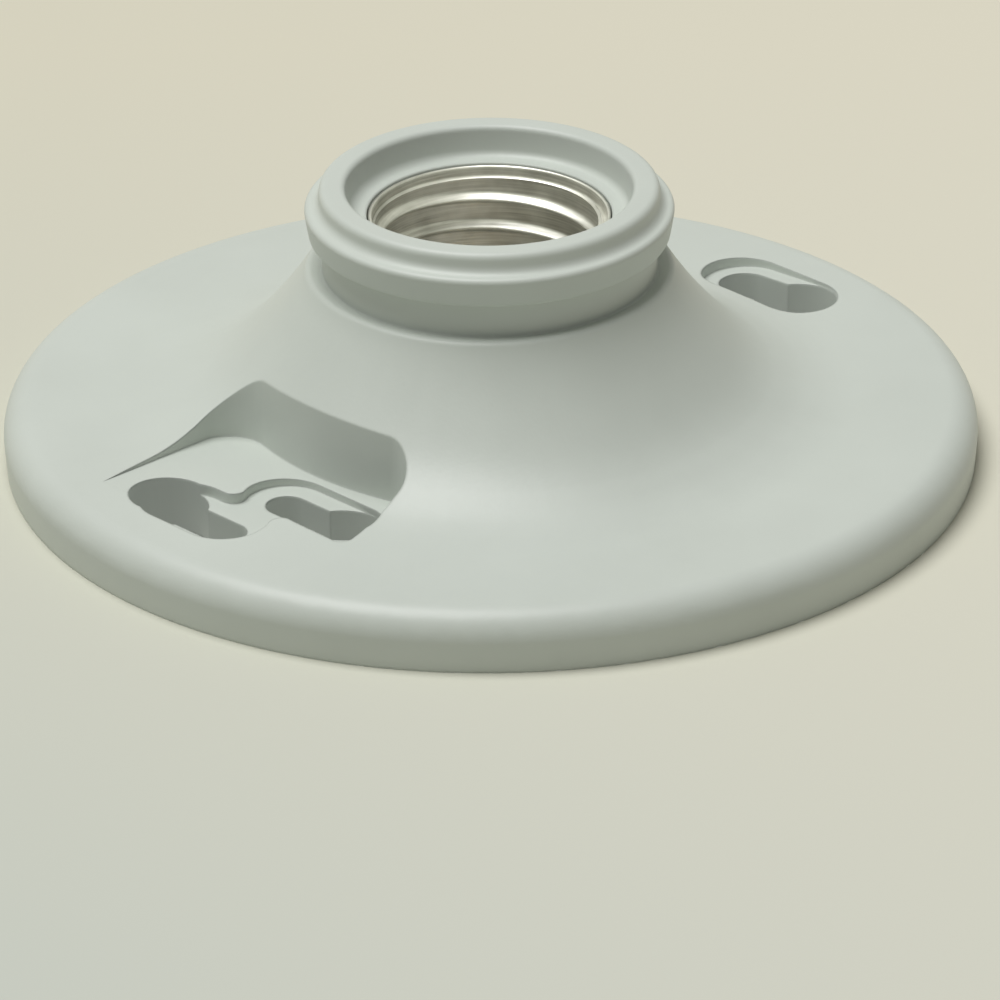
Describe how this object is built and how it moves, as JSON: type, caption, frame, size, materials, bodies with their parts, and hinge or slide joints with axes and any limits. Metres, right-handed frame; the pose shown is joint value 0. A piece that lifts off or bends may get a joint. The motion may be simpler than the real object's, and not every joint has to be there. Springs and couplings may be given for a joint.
{
  "type": "keyless lamp holder",
  "caption": "Round moulded ceiling lamp holder with a shallow dome, a lipped neck holding a rolled metal screw shell, and box-screw keyholes in a sunk pocket.",
  "frame": {"origin": "centre of the rim's bottom plane, where the holder meets the ceiling or the bench", "axes": "+Z along the lamp axis out of the mouth; +X through the single keyhole; the pocket with the two keyholes is at -X"},
  "size_m": [0.1142, 0.1142, 0.0338],
  "materials": {
    "moulding": "satin moulded",
    "shell": "bright rolled",
    "contact": "satin stamped",
    "rivet": "satin",
    "neutral_plate": "plated stamped",
    "line_plate": "satin stamped"
  },
  "bodies": {
    "holder": {"housing": "moulding", "screw_shell": "shell", "centre_contact": "contact", "contact_rivet": "line_plate", "shell_rivet_neutral": "rivet", "shell_rivet_left": "rivet", "shell_rivet_right": "rivet", "neutral_strap": "neutral_plate", "line_strap": "line_plate"},
    "neutral_screw_body": {"neutral_screw": "neutral_plate"},
    "line_screw_body": {"line_screw": "line_plate"}
  },
  "joints": [
    {"name": "neutral_screw_travel", "type": "slide", "parent": "holder", "child": "neutral_screw_body", "axis": [0, 0, -1], "range_m": [0, 0.0024]},
    {"name": "line_screw_travel", "type": "slide", "parent": "holder", "child": "line_screw_body", "axis": [0, 0, -1], "range_m": [0, 0.0024]}
  ]
}
